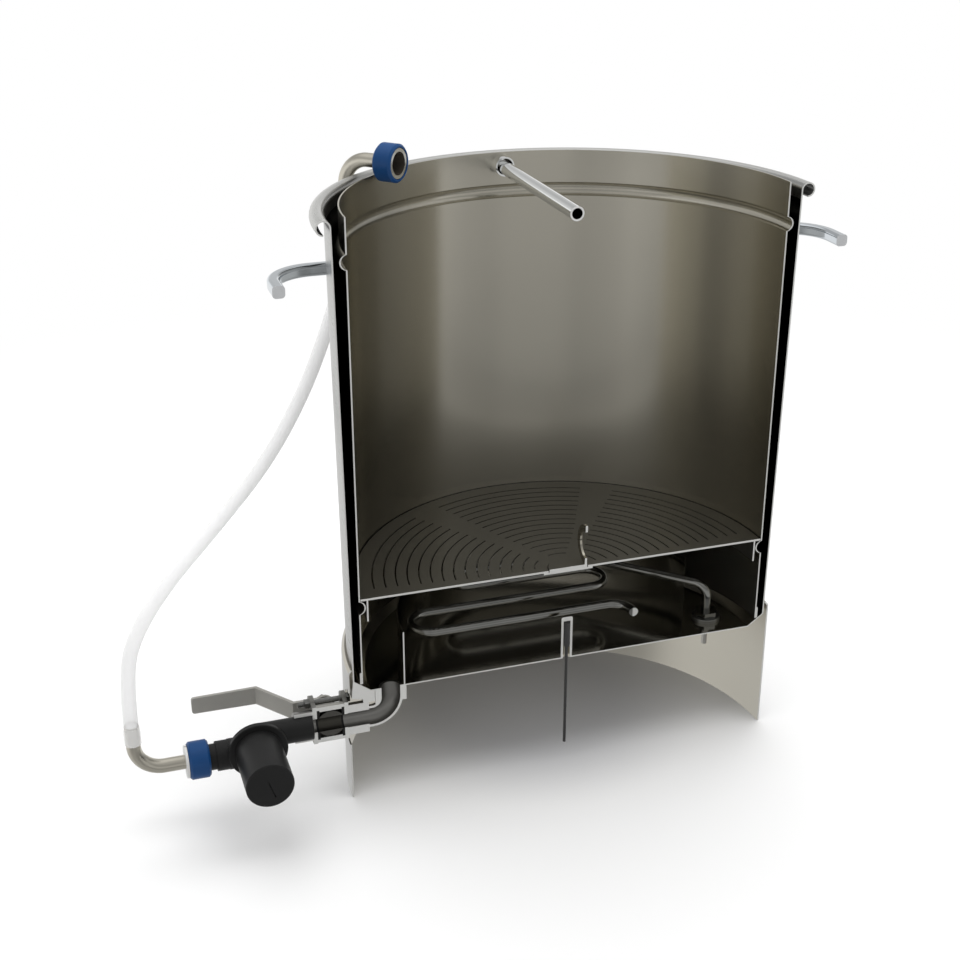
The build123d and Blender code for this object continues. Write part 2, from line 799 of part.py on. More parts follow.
def valve_seats():
    """The two seal rings that the ball turns between."""
    middle_x = body_half_length - seat_thickness / 2
    middle_r = (seat_radius + port_radius) / 2
    outline = Sketch()
    for side in (-1, 1):
        outline += Pos(side * middle_x, middle_r) * Rectangle(seat_thickness, seat_radius - port_radius)
    outline -= Circle(ball_radius + ball_gap)
    return bore_half_turn(outline)


def valve_ball():
    """The bored ball, with the slot that the stem's tang drives."""
    outline = Circle(ball_radius) - Pos(0, port_radius - ball_radius) * Rectangle(far, 2 * ball_radius)
    ball = bore_half_turn(outline)
    slot_depth = tang_depth + tang_gap
    slot = Pos(valve_x, ball_radius - slot_depth / 2, drain_height)
    slot *= Box(2 * ball_radius, slot_depth, tang_width + 2 * tang_gap)
    return ball - slot


def valve_stem():
    """The stem, from its tang in the ball to the end that the lever's nut holds."""
    top = bonnet_top + gland_height + lever_gap + lever_wall + lever_nut_height + stem_tip
    stem = rod(stem_radius, (valve_x, ball_radius, drain_height), (valve_x, top, drain_height))
    tang_end = (valve_x, ball_radius - tang_depth, drain_height)
    tang = rod(stem_radius, tang_end, (valve_x, ball_radius, drain_height))
    tang &= Pos(valve_x, ball_radius, drain_height) * Box(far, far, tang_width)
    return stem + tang


def stem_packing():
    """The seal ring round the stem."""
    start = (valve_x, bonnet_top - packing_depth, drain_height)
    end = (valve_x, bonnet_top, drain_height)
    return tube(packing_radius, stem_radius + stem_gap, start, end)


def gland_nut():
    """The nut that presses on the packing."""
    start = (valve_x, bonnet_top, drain_height)
    end = (valve_x, bonnet_top + gland_height, drain_height)
    return hexagon(gland_size, start, end) - rod(stem_radius + stem_gap, start, end)


def bent_strip(points, wall):
    """A flat strip, seen on edge, that follows a bent line on its upper side."""
    upper = [Vector(*p) for p in points]
    lower = []
    for index, point in enumerate(upper):
        before = (point - upper[index - 1]).normalized() if index else None
        after = (upper[index + 1] - point).normalized() if index + 1 < len(upper) else None
        one = before or after
        other = after or before
        normal_a = Vector(-one.Y, one.X)
        normal_b = Vector(-other.Y, other.X)
        mitre = (normal_a + normal_b).normalized()
        lower.append(point + mitre * (wall / mitre.dot(normal_a)))
    return polygon(*[(v.X, v.Y) for v in upper + lower[::-1]])


def valve_lever():
    """The cranked flat lever: along the pipe when open."""
    y_hub = bonnet_top + gland_height + lever_gap
    line = [
        (valve_x + lever_hub, y_hub + lever_wall),
        (lever_crank_x, y_hub + lever_wall),
        (lever_crank_end_x, y_hub + lever_wall + lever_offset),
        (lever_tip_x, y_hub + lever_wall + lever_offset),
    ]
    strip = Pos(0, 0, drain_height - far / 2) * extrude(bent_strip(line, lever_wall), far)
    tip_half = lever_tip_width / 2
    bar_half = lever_width / 2
    outline = polygon(
        (valve_x, drain_height - bar_half),
        (valve_x, drain_height + bar_half),
        (lever_crank_end_x, drain_height + bar_half),
        (lever_tip_x, drain_height + tip_half),
        (lever_tip_x, drain_height - tip_half),
        (lever_crank_end_x, drain_height - bar_half),
    )
    outline = fillet(outline.vertices().sort_by(Axis.X)[:2], lever_corner)
    outline += Pos(valve_x, drain_height) * Circle(lever_hub)
    lever = strip & extrude(Plane.XZ * outline, -far)
    return lever - rod(stem_radius, (valve_x, 0, drain_height), (valve_x, far, drain_height))


def lever_nut():
    """The nut that holds the lever on the stem."""
    low = bonnet_top + gland_height + lever_gap + lever_wall
    start = (valve_x, low, drain_height)
    end = (valve_x, low + lever_nut_height, drain_height)
    return hexagon(lever_nut_size, start, end) - rod(stem_radius, start, end)


def valve_bolts():
    """The two bolts of the back half that clamp the valve's three pieces."""
    head_x = valve_right + flange_thickness
    tail_x = valve_left - flange_thickness - head_height - bolt_tail
    bolts = []
    for side in (-1, 1):
        z = drain_height + side * bolt_offset
        bolt = rod(bolt_radius, (tail_x, bolt_offset, z), (head_x, bolt_offset, z))
        bolt += hexagon(hex_size, (head_x, bolt_offset, z), (head_x + head_height, bolt_offset, z))
        bolts.append(bolt.solid())
    return Compound(children=bolts)


def valve_bolt_nuts():
    """The nuts of those bolts."""
    start_x = valve_left - flange_thickness
    nuts = []
    for side in (-1, 1):
        z = drain_height + side * bolt_offset
        start = (start_x, bolt_offset, z)
        end = (start_x - head_height, bolt_offset, z)
        nuts.append((hexagon(hex_size, start, end) - rod(bolt_radius, start, end)).solid())
    return Compound(children=nuts)


def on_pump(y):
    """A point on the pump's shaft line."""
    return (pump_x, y, pump_height)


def on_outlet(x):
    """A point on the centre line of the pump's outlet."""
    return (x, 0, outlet_height)


def pump_volute():
    """The pump's chamber, with its inlet and outlet stubs."""
    body = rod(volute_radius, on_pump(motor_face), on_pump(motor_face + volute_depth))
    body = body.chamfer(volute_edge, None, body.edges().group_by(Axis.Y)[-1])
    ring = rod(ring_radius, on_pump(motor_face), on_pump(motor_face + ring_thickness))
    body += ring.chamfer(ring_edge, None, ring.edges().filter_by(GeomType.CIRCLE))
    inlet_end = on_drain(valve_left - flange_thickness - inlet_end_gap)
    body += rod(inlet_radius, on_drain(pump_x), inlet_end)
    body += rod(outlet_neck_radius, on_outlet(pump_x), on_outlet(outlet_collar_x))
    body += rod(outlet_core_radius, on_outlet(outlet_collar_x), on_outlet(outlet_end_x))
    body += rod(outlet_radius, on_outlet(outlet_collar_x), on_outlet(outlet_collar_end_x))
    body += rod(union_nut_bore - outlet_thread_gap, on_outlet(outlet_thread_x), on_outlet(outlet_end_x))
    body -= rod(inlet_bore, on_drain(pump_x + 1.5 * bush_radius), inlet_end)
    body -= rod(outlet_bore, on_outlet(pump_x - 1.5 * bush_radius), on_outlet(outlet_end_x))
    body -= rod(volute_cavity, on_pump(motor_face), on_pump(bearing_face))
    return body - rod(bush_radius, on_pump(motor_face), on_pump(bearing_face + bush_length))


def motor_case():
    """The motor's housing, which closes the chamber and holds the rotor's well."""
    back = motor_face - motor_length + end_cap_length
    case = rod(motor_radius, on_pump(back), on_pump(motor_face))
    spigot_end = motor_face + motor_spigot
    case += rod(volute_cavity, on_pump(motor_face), on_pump(spigot_end))
    case -= rod(rotor_bore, on_pump(rotor_well_end), on_pump(spigot_end))
    return case - rod(bush_radius, on_pump(rotor_well_end - bush_length), on_pump(rotor_well_end))


def motor_end_cap():
    """The cap on the motor's end, with its thin slit."""
    front = motor_face - motor_length + end_cap_length
    end = motor_face - motor_length
    cap = rod(motor_radius, on_pump(end), on_pump(front))
    cap = cap.chamfer(end_cap_edge, None, cap.edges().group_by(Axis.Y)[0])
    slit = Pos(pump_x, end, pump_height) * Rot(0, -cap_slit_angle, 0) * Pos(0, 0, -cap_slit_length / 4)
    return cap - slit * Box(cap_slit_width, 2 * cap_slit_depth, cap_slit_length)


def pump_bushes():
    """The two plain bearings of the pump's shaft."""
    bore = shaft_radius + shaft_gap
    starts = (bearing_face, rotor_well_end - bush_length)
    return Compound(children=[
        tube(bush_radius, bore, on_pump(start), on_pump(start + bush_length)).solid() for start in starts
    ])


def pump_shaft():
    """The shaft that carries the impeller and the magnet rotor."""
    front = bearing_face + bush_length - shaft_end_gap
    back = rotor_well_end - bush_length + shaft_end_gap
    return rod(shaft_radius, on_pump(back), on_pump(front))


def impeller():
    """The disc with curved vanes that moves the wort."""
    disc_back = motor_face + impeller_setback
    disc_front = disc_back + impeller_disc
    wheel = rod(impeller_radius, on_pump(disc_back), on_pump(disc_front))
    wheel += rod(impeller_hub, on_pump(disc_back), on_pump(disc_front + vane_height))
    plane = Plane(origin=on_pump(disc_front), x_dir=(1, 0, 0), z_dir=(0, 1, 0))
    reach = impeller_radius - 0.5
    curve = ThreePointArc((impeller_hub - 0.5, 0), (reach * 0.62, 2.6), (reach * 0.94, 0.34 * reach))
    vane = trace(curve, vane_wall)
    for index in range(vane_count):
        wheel += extrude(plane * Rot(0, 0, index * 360 / vane_count) * vane, vane_height)
    return wheel - rod(shaft_radius, on_pump(disc_back), on_pump(disc_front + vane_height))


def magnet_rotor():
    """The magnet that the motor's coils turn."""
    start = on_pump(motor_face - rotor_length)
    return tube(rotor_radius, shaft_radius, start, on_pump(motor_face))


def rotor_collar():
    """The spacer between the magnet and the impeller."""
    return tube(impeller_hub, shaft_radius, on_pump(motor_face), on_pump(motor_face + impeller_setback))


def union_set(front, outward, face_depth, flange_radius):
    """The nut and the pipe's ferrule of one union, and where the pipe starts.

    front is the middle of the open end and outward points out of it.
    """
    axis = Vector(*outward)

    def at(depth):
        point = Vector(*front) - axis * depth
        return (point.X, point.Y, point.Z)

    nut = rod(union_nut_radius, at(union_nut_length), at(0))
    ends = nut.edges().filter_by(GeomType.CIRCLE)
    nut = nut.chamfer(nut_chamfer, None, ends)
    nut -= rod(union_nut_bore, at(union_nut_length - union_lip), at(0))
    nut -= rod(ferrule_neck + union_lip_gap, at(union_nut_length), at(0))
    shoulder = union_nut_length - union_lip - union_lip_gap
    ferrule = rod(ferrule_radius, at(shoulder), at(face_depth))
    ferrule += rod(ferrule_neck, at(union_nut_length + ferrule_tail), at(shoulder))
    if flange_radius:
        flange_end = union_nut_length + lower_flange_end
        ferrule += rod(flange_radius, at(flange_end), at(union_nut_length + union_lip_gap))
    ferrule -= rod(ferrule_bore, at(ferrule_depth), at(0))
    ferrule -= rod(return_radius, at(2 * union_nut_length), at(pipe_depth))
    ferrule -= rod(return_bore, at(pipe_depth), at(0))
    return nut, ferrule, at(pipe_depth)


def lower_union():
    """The union on the pump's outlet."""
    return union_set(on_outlet(lower_union_x), (1, 0, 0), lower_face_depth, lower_flange_radius)


def lower_gasket():
    """The flat ring between the pump's outlet and the ferrule."""
    face_x = lower_union_x - lower_face_depth
    return tube(ferrule_radius, outlet_bore, on_outlet(face_x), on_outlet(outlet_end_x))


def radial_point(radius, height):
    """A point in the upright plane that the upper return pipe lies in."""
    angle = math.radians(return_angle)
    return (radius * math.cos(angle), radius * math.sin(angle), height)


def upper_union():
    """The union that ends the upper return pipe, over the malt pipe."""
    angle = math.radians(return_angle)
    inward = (-math.cos(angle), -math.sin(angle), 0)
    return union_set(radial_point(upper_union_front, upper_pipe_height), inward, upper_face_depth, 0)


def lower_return_pipe(start):
    """The bent pipe from the pump's union up into the hose."""
    turn_x = lower_rise_x + lower_bend
    half = lower_bend * math.sqrt(0.5)
    path = Line(start, (turn_x, 0, outlet_height))
    path += ThreePointArc(
        (turn_x, 0, outlet_height),
        (turn_x - half, 0, outlet_height + lower_bend - half),
        (lower_rise_x, 0, outlet_height + lower_bend),
    )
    path += Line((lower_rise_x, 0, outlet_height + lower_bend), (lower_rise_x, 0, lower_pipe_top))
    return swept(return_radius, path) - swept(return_bore, path)


def upper_return_pipe(start):
    """The pipe that hooks over the rims, from the hose to the union inside."""
    turn_radius = upper_drop_radius - upper_bend
    turn_height = upper_pipe_height - upper_bend
    half = upper_bend * math.sqrt(0.5)
    path = Line(start, radial_point(turn_radius, upper_pipe_height))
    path += ThreePointArc(
        radial_point(turn_radius, upper_pipe_height),
        radial_point(turn_radius + half, turn_height + half),
        radial_point(upper_drop_radius, turn_height),
    )
    foot = radial_point(upper_drop_radius, upper_pipe_low)
    path += Line(radial_point(upper_drop_radius, turn_height), foot)
    return swept(return_radius, path) - swept(return_bore, path)


def hose_route():
    """The hose's points and the radius of the arc at each corner."""
    low = (lower_rise_x, 0, lower_pipe_top)
    high = radial_point(upper_drop_radius, upper_pipe_low)
    after_low = (lower_rise_x, 0, lower_pipe_top + hose_low_run)
    before_high = (high[0], high[1], upper_pipe_low - hose_top_run)
    points = [low, after_low] + hose_points + [before_high, high]
    vectors = [Vector(*p) for p in points]
    radii = []
    for before, corner, after in zip(vectors, vectors[1:], vectors[2:]):
        turn = (corner - before).get_angle(after - corner)
        run = min((corner - before).length, (after - corner).length)
        radii.append(0.45 * run / math.tan(math.radians(turn / 2)))
    return points, radii


def return_hose():
    """The clear hose between the two return pipes."""
    points, radii = hose_route()
    path = FilletPolyline(*points, radius=radii)
    print("hose arcs", [round(r) for r in radii], "length", round(path.length, 1))
    hose = swept(hose_radius, path) - swept(hose_bore, path)
    area = math.pi * (hose_radius ** 2 - hose_bore ** 2)
    print("hose volume", round(hose.volume), "section times length", round(area * path.length))
    return hose


def hose_cuffs():
    """The hose's two ends, stretched over the pipes."""
    low = (lower_rise_x, 0, lower_pipe_top)
    low_end = (lower_rise_x, 0, lower_pipe_top - cuff_length)
    high = radial_point(upper_drop_radius, upper_pipe_low)
    high_end = radial_point(upper_drop_radius, upper_pipe_low + cuff_length)
    return tube(cuff_radius, return_radius, low_end, low), tube(cuff_radius, return_radius, high, high_end)


def main():
    os.makedirs("parts", exist_ok=True)
    lower_nut, lower_ferrule, lower_pipe_start = lower_union()
    upper_nut, upper_ferrule, upper_pipe_start = upper_union()
    lower_cuff, upper_cuff = hose_cuffs()
    nodes = {
        "kettle_wall": kettle_shell(),
        "kettle_bottom": kettle_floor(),
        "skirt_base": skirt(),
        "left_handle": handle(-1),
        "right_handle": handle(1),
        "malt_pipe": malt_pipe_wall(),
        "malt_pipe_band": malt_pipe_band(),
        "lift_bar_sleeve": bar_sleeve(),
        "lift_bar": lift_bar(),
        "false_bottom": false_bottom(),
        "false_bottom_ring": false_bottom_ring(),
        "false_bottom_hub": hub_disc(),
        "false_bottom_lift_ring": lift_ring(),
        "heating_element": heating_element(),
        "element_flange": element_gland(),
        "element_nut": element_nut(),
        "element_terminal": element_terminal(),
        "element_shroud": element_shroud(),
        "thermowell": thermowell(),
        "probe_tip": probe(),
        "probe_lead": probe_lead(),
        "drain_elbow": drain_elbow(),
        "drain_collar": drain_collar(),
        "drain_boss": drain_boss(),
        "valve_inlet_cap": valve_inlet_cap(),
        "valve_body": valve_body(),
        "valve_outlet_cap": valve_outlet_cap(),
        "valve_seats": valve_seats(),
        "valve_ball": valve_ball(),
        "valve_stem": valve_stem(),
        "stem_packing": stem_packing(),
        "gland_nut": gland_nut(),
        "valve_lever": valve_lever(),
        "lever_nut": lever_nut(),
        "valve_bolts": valve_bolts(),
        "valve_bolt_nuts": valve_bolt_nuts(),
        "pump_volute": pump_volute(),
        "pump_motor_case": motor_case(),
        "pump_end_cap": motor_end_cap(),
        "pump_bushes": pump_bushes(),
        "pump_shaft": pump_shaft(),
        "pump_impeller": impeller(),
        "pump_magnet_rotor": magnet_rotor(),
        "pump_rotor_collar": rotor_collar(),
        "lower_union_nut": lower_nut,
        "lower_ferrule": lower_ferrule,
        "lower_gasket": lower_gasket(),
        "lower_return_pipe": lower_return_pipe(lower_pipe_start),
        "upper_union_nut": upper_nut,
        "upper_ferrule": upper_ferrule,
        "upper_return_pipe": upper_return_pipe(upper_pipe_start),
        "return_hose": return_hose(),
        "lower_hose_cuff": lower_cuff,
        "upper_hose_cuff": upper_cuff,
    }
    for name, shape in nodes.items():
        write(name, shape)


main()
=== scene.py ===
"""Looks for the single vessel brewing system.

The frame's solids carry the shapes. This script gives each of them its finish, makes the hose, its
stretched ends and the probe's lead, which are soft, as new pieces in place of the frame's, and sets
up a plain studio with the camera in front of the cut side. Lengths are metres in the frame's own
axes: +Z is up, the kettle's axis is the Z axis and the cut plane is Y = 0.
"""
import math

import bmesh
import bpy
from mathutils import Matrix, Vector


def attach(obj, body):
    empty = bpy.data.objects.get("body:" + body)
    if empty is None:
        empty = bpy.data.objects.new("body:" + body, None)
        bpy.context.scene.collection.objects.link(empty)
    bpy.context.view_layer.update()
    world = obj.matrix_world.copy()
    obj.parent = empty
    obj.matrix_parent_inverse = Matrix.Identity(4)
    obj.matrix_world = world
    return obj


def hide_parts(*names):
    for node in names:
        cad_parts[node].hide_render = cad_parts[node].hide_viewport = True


def grey(value):
    """A neutral tone."""
    return (value, value, value)


# Camera
camera_place = Vector((-0.43658, -1.09578, 0.80300))
camera_yaw = 17.965                 # degrees from +Y towards +X
camera_pitch = 23.911               # degrees below the horizon
camera_roll = 0.076
camera_sensor = 36.0                # millimetres, as the lens
camera_lens = 56.648
camera_range = (0.01, 50.0)         # nearest and furthest that it sees

# Hose: the route's points, from the lower return pipe up to the upper one
hose_points = [
    (-0.3845, 0.0, 0.112),
    (-0.3845, 0.0, 0.150),
    (-0.377, 0.0055, 0.187),
    (-0.346, 0.026, 0.221),
    (-0.297, 0.060, 0.252),
    (-0.243, 0.097, 0.290),
    (-0.201, 0.126, 0.340),
    (-0.171, 0.1465, 0.396),
    (-0.1500396, 0.1608978, 0.446),
    (-0.1500396, 0.1608978, 0.480),
]
hose_radius = 0.006

# Hose end, stretched over a pipe: radius and height, with the pipe's side at 0
cuff_length = 0.0176
cuff_profile = [
    (0.0061, 0.0),
    (0.0066, 0.0),                  # rounded edge
    (0.0070, 0.0006),
    (0.0070, 0.0116),               # up to here there is a pipe inside
    (0.0067, 0.0140),
    (0.00635, 0.0164),
    (0.00605, cuff_length),         # down to the hose
    (0.0061, cuff_length),
]
cuff_steps = 48
cuff_weld = 1e-6                    # corners closer than this are one

# Probe's lead
lead_radius = 0.0014
lead_top = 0.1188
lead_end = 0.0176

# Hose and lead as curves
line_sides = 8
line_steps = 24

# Places on the object that have a tone of their own
# the gap between the walls, the rim's hollow, the plate's edge and the upper union's bore get
# painted shade
section_depth = 0.00015             # what lies nearer to the cut plane than this is a cut face
wall_slope = 0.0093                 # of the kettle's wall: radius per metre of height
wall_middle = 0.1946                # radius of the middle of that wall, brought down to the floor
rim_start = 0.1966                  # radius of the rolled rim's root, brought down to the floor
gap_top = 0.508                     # below this the gap between the two walls gets no light
plate_edge = 0.1863
plate_height = 0.194
skirt_middle = 0.2001               # radius of the middle of the skirt's thickness
roll_radius = 0.2050                # of the middle of the rolled rim, from the kettle's axis
roll_height = 0.5156
roll_hollow = 0.0053
return_angle = 133.0                # of the upper return pipe, in degrees from +X
return_height = 0.534
mouth_radius = 0.00985

# Patterns
sheet_lines = 1500.0                # per metre
line_stretch = 6.0                  # noise steps per radian round the axis
line_noise = (3.0, 0.7)             # detail and roughness
band_stretch = 2.0
bands_per_metre = 14.0
band_noise = (2.0, 0.5)
grain_noise = (2.0, 0.6)
clouds_per_metre = 45.0
cloud_noise = (3.0, 0.6)
sheet_relief = 0.000004             # how deep the pattern goes
grain_relief = 0.00001
thread_relief = 0.0002
sheet_bump = 0.5                    # how strong it looks
grain_bump = 0.4
thread_bump = 0.6
thread_pitch = 0.0009
brush_turn = 0.25                   # of a full turn: stretches reflections along the axis

# Tones and roughness that more than one finish has
# painted shade: near black for hollows and gaps that get no light
painted_shade_black = grey(0.012)
cut_pale = (0.62, 0.62, 0.60)
cut_bright = (0.66, 0.66, 0.64)
cut_metal = 0.25                    # how metallic a cut face is
cut_rough = 0.55
plastic_gloss = 0.22

# Finishes of sheet. rough is the range of roughness. zones are places of another tone: the tone,
# the mask and the mask's values. dull is a ring that goes to the cut faces' look by its share.
# brushed is how far the brushing stretches reflections.
SHEETS = {
    "outer sheet": {
        "tone": (0.50, 0.50, 0.49),
        "dark": (0.45, 0.45, 0.44),
        "rough": (0.22, 0.36),
        # painted shade: the wall's side towards the gap, below gap_top, and the inside of the
        # rolled rim are painted near black
        "zones": [
            (painted_shade_black, "ring_band", {"Slope": wall_slope, "To": wall_middle, "Top": gap_top}),
            (painted_shade_black, "rim_hollow", {}),
        ],
        "dull": {"Slope": wall_slope, "From": rim_start},
        "share": 0.4,
    },
    "inner sheet": {
        "tone": (0.575, 0.549, 0.475),
        "dark": (0.545, 0.52, 0.45),
        "rough": (0.19, 0.27),
        # painted shade: from 112 to 130 degrees round the axis the wall darkens; painted light:
        # from 142 to 152 degrees it turns lighter, so that the other side of the wall mirrors it
        # brighter
        "zones": [
            ((0.40, 0.385, 0.34), "turned_band", {"From": 112.0, "To": 130.0}),
            ((0.66, 0.63, 0.545), "turned_band", {"From": 142.0, "To": 152.0}),
        ],
        "dull": {"Top": plate_height},
        "share": 0.035,
        "brushed": 0.8,
    },
    "skirt sheet": {
        "tone": (0.55, 0.527, 0.462),
        "dark": (0.50, 0.478, 0.42),
        "rough": (0.24, 0.38),
        "zones": [((0.55, 0.55, 0.54), "ring_band", {"From": skirt_middle})],
    },
    "bottom sheet": {
        "tone": (0.50, 0.485, 0.44),
        "dark": (0.45, 0.437, 0.396),
        "rough": (0.08, 0.14),
        # painted shade: the shroud's end, below about 21.35 degrees round the axis, is painted near
        # black
        "zones": [((0.05, 0.05, 0.045), "turned_band", {"From": 21.38, "To": 21.32})],
    },
    "floor sheet": {
        "tone": (0.74, 0.715, 0.65),
        "dark": (0.68, 0.657, 0.60),
        "rough": (0.09, 0.15),
    },
    "screen sheet": {
        "tone": (0.205, 0.198, 0.176),
        "dark": (0.184, 0.178, 0.158),
        "rough": (0.42, 0.54),
        # painted shade: the screen beyond the plate's edge is painted near black
        "zones": [(painted_shade_black, "ring_band", {"From": plate_edge})],
    },
}

# Finishes of bar, tube and castings. cut is the tone of their cut faces, if they have any, and
# grain is in grains per metre.
METALS = {
    "polished tube": {
        "tone": (0.56, 0.53, 0.45),
        "dark": (0.50, 0.47, 0.40),
        "rough": (0.12, 0.2),
        "cut": cut_pale,
        "grain": 1200.0,
        "relief": 0.000004,
    },
    "return pipe": {
        "tone": (0.62, 0.59, 0.51),
        "dark": (0.56, 0.53, 0.46),
        "rough": (0.26, 0.34),
        "grain": 1200.0,
        "relief": 0.000004,
    },
    "bright tube": {
        "tone": (0.90, 0.91, 0.91),
        "dark": (0.84, 0.85, 0.85),
        "rough": (0.06, 0.1),
        "cut": (0.72, 0.72, 0.71),
        "grain": 1200.0,
        "relief": 0.000004,
    },
    "handle bar": {
        "tone": (0.72, 0.76, 0.80),
        "dark": (0.66, 0.70, 0.74),
        "rough": (0.05, 0.1),
        "cut": (0.55, 0.56, 0.57),
        "grain": 1200.0,
        "relief": 0.000003,
    },
    "element tube": {
        "tone": (0.29, 0.29, 0.275),
        "dark": (0.24, 0.24, 0.23),
        "rough": (0.07, 0.12),
        "cut": (0.5, 0.5, 0.48),
        "grain": 2200.0,
        "relief": 0.000012,
    },
    "flange steel": {
        "tone": (0.22, 0.22, 0.21),
        "dark": (0.17, 0.17, 0.16),
        "rough": (0.3, 0.42),
        "cut": (0.16, 0.16, 0.15),
        "grain": 2200.0,
        "relief": 0.000012,
    },
    "elbow bore": {
        "tone": (0.29, 0.285, 0.27),
        "dark": (0.24, 0.235, 0.225),
        "rough": (0.3, 0.44),
        "cut": cut_bright,
        "grain": 1800.0,
        "relief": 0.00003,
    },
    "valve casting": {
        "tone": (0.50, 0.49, 0.46),
        "dark": (0.42, 0.41, 0.38),
        "rough": (0.32, 0.48),
        "cut": cut_bright,
        "grain": 1800.0,
        "relief": 0.00003,
    },
    # painted shade: the ball and its cut faces are painted near black, as the valve's cavity lies
    # in shade
    "ball": {
        "tone": (0.08, 0.076, 0.066),
        "dark": (0.07, 0.066, 0.058),
        "rough": (0.4, 0.5),
        "cut": (0.06, 0.057, 0.05),
        "relief": 0.000004,
    },
    "lever strip": {
        "tone": (0.40, 0.39, 0.36),
        "dark": (0.34, 0.33, 0.305),
        "rough": (0.5, 0.62),
        "grain": 2600.0,
        "metallic": 0.35,
    },
    "bolt steel": {
        "tone": (0.26, 0.26, 0.255),
        "dark": (0.19, 0.19, 0.185),
        "rough": (0.16, 0.28),
    },
    "union mouth": {
        "tone": (0.80, 0.79, 0.76),
        "dark": (0.74, 0.73, 0.70),
        "rough": (0.14, 0.22),
    },
}
# painted shade: the upper union's bore is painted dark brown and less metallic
painted_bore_shade = (0.085, 0.074, 0.060)
mouth_metal = 0.3

# Finishes of plastic, rubber, ceramic and magnet
MOULDINGS = {
    "seal": {
        "tone": grey(0.012),
        "dark": grey(0.008),
        "rough": (0.5, 0.65),
        "grain": 2000.0,
    },
    "pump plastic": {
        "tone": grey(0.013),
        "dark": grey(0.010),
        "rough": (0.38, 0.5),
        "grain": 3200.0,
        "relief": 0.00003,
    },
    "blue nut": {
        "tone": (0.007, 0.056, 0.180),
        "dark": (0.006, 0.046, 0.154),
        "rough": (0.34, 0.46),
        "grain": 2600.0,
    },
    "ceramic": {
        "tone": (0.72, 0.72, 0.70),
        "dark": (0.66, 0.66, 0.64),
        "rough": (0.3, 0.4),
        "grain": 2600.0,
        "relief": 0.000005,
    },
    "magnet": {
        "tone": grey(0.05),
        "dark": grey(0.04),
        "rough": (0.4, 0.6),
        "grain": 2600.0,
    },
    "lead": {
        "tone": grey(0.045),
        "dark": grey(0.035),
        "rough": (0.4, 0.5),
        "grain": 2600.0,
    },
}

# Milky silicone: how much each of the two hides
SILICONES = {
    "clear silicone": 0.66,
    "thin silicone": 0.36,
}
silicone_tones = (grey(0.86), grey(0.92))
silicone_rough = (0.38, 0.5)
silicone_grain = 900.0
# painted light: a faint glow that stands in for light shining through the hose
silicone_painted_glow = 0.08

# The frame's solids and their finishes
NODE_FINISH = {
    "kettle_wall": "outer sheet",
    "kettle_bottom": "floor sheet",
    "skirt_base": "skirt sheet",
    "left_handle": "handle bar",
    "right_handle": "handle bar",
    "malt_pipe": "inner sheet",
    "malt_pipe_band": "inner sheet",
    "lift_bar_sleeve": "bright tube",
    "lift_bar": "bright tube",
    "false_bottom": "screen sheet",
    "false_bottom_ring": "screen sheet",
    "false_bottom_hub": "screen sheet",
    "false_bottom_lift_ring": "polished tube",
    "heating_element": "element tube",
    "element_flange": "flange steel",
    "element_nut": "element tube",
    "element_terminal": "valve casting",
    "element_shroud": "bottom sheet",
    "thermowell": "polished tube",
    "probe_tip": "lead",
    "drain_elbow": "elbow bore",
    "drain_collar": "valve casting",
    "drain_boss": "valve casting",
    "valve_inlet_cap": "elbow bore",
    "valve_body": "valve casting",
    "valve_outlet_cap": "elbow bore",
    "valve_seats": "seal",
    "valve_ball": "ball",
    "valve_stem": "valve casting",
    "stem_packing": "seal",
    "gland_nut": "valve casting",
    "valve_lever": "lever strip",
    "lever_nut": "bolt steel",
    "valve_bolts": "bolt steel",
    "valve_bolt_nuts": "bolt steel",
    "pump_volute": "pump plastic",
    "pump_motor_case": "pump plastic",
    "pump_end_cap": "pump plastic",
    "pump_bushes": "ceramic",
    "pump_shaft": "polished tube",
    "pump_impeller": "pump plastic",
    "pump_magnet_rotor": "magnet",
    "pump_rotor_collar": "pump plastic",
    "lower_union_nut": "blue nut",
    "upper_union_nut": "blue nut",
    "lower_ferrule": "bright tube",
    "upper_ferrule": "union mouth",
    "lower_gasket": "seal",
    "lower_return_pipe": "return pipe",
    "upper_return_pipe": "return pipe",
}

# Studio floor
floor_size = 8.0
floor_drop = 0.0003
floor_tone = grey(0.93)
fade = (0.55, 1.5)                  # between these distances the floor turns plain white
# painted shadow: the floor is painted darker under the kettle
painted_shadow_middle = 0.12                 # of the darker floor under the kettle, behind the cut plane
painted_shadow_reach = (0.20, 0.08)          # the radii between which the floor darkens
painted_shadow_tone = (0.62, 0.625, 0.65)

# Studio lamp
lamp_place = (0.1, 0.52, 2.4)
lamp_target = (0.0, 0.0, 0.0)
lamp_size = 3.2
lamp_power = 62.0

# Surroundings
soft_light = 0.62                   # on matt faces
mirror_light = 1.15                 # in reflections
front = (-0.10, -0.42)              # the Y of a mirrored direction, from the side to the full front
studio_tint = (1.0, 1.0, 0.99)
front_strips = [                    # what the metal mirrors in front: the sine of the height, tone
    (-1.0, 0.80),
    (-0.50, 0.80),
    (-0.45, 0.09),
    (-0.41, 0.10),
    (-0.385, 0.11),
    (-0.36, 0.10),
    (-0.335, 0.34),
    (-0.31, 0.80),
    (-0.285, 1.0),
    (0.10, 1.0),
    (0.35, 0.55),
    (0.65, 0.80),
    (1.0, 1.0),
]
side_strips = [                     # the same to the sides and behind
    (-1.0, 0.62),
    (-0.55, 0.70),
    (-0.40, 0.95),
    (0.05, 1.0),
    (0.30, 0.62),
    (0.44, 0.46),
    (0.56, 0.48),
    (0.80, 0.85),
    (1.0, 1.0),
]
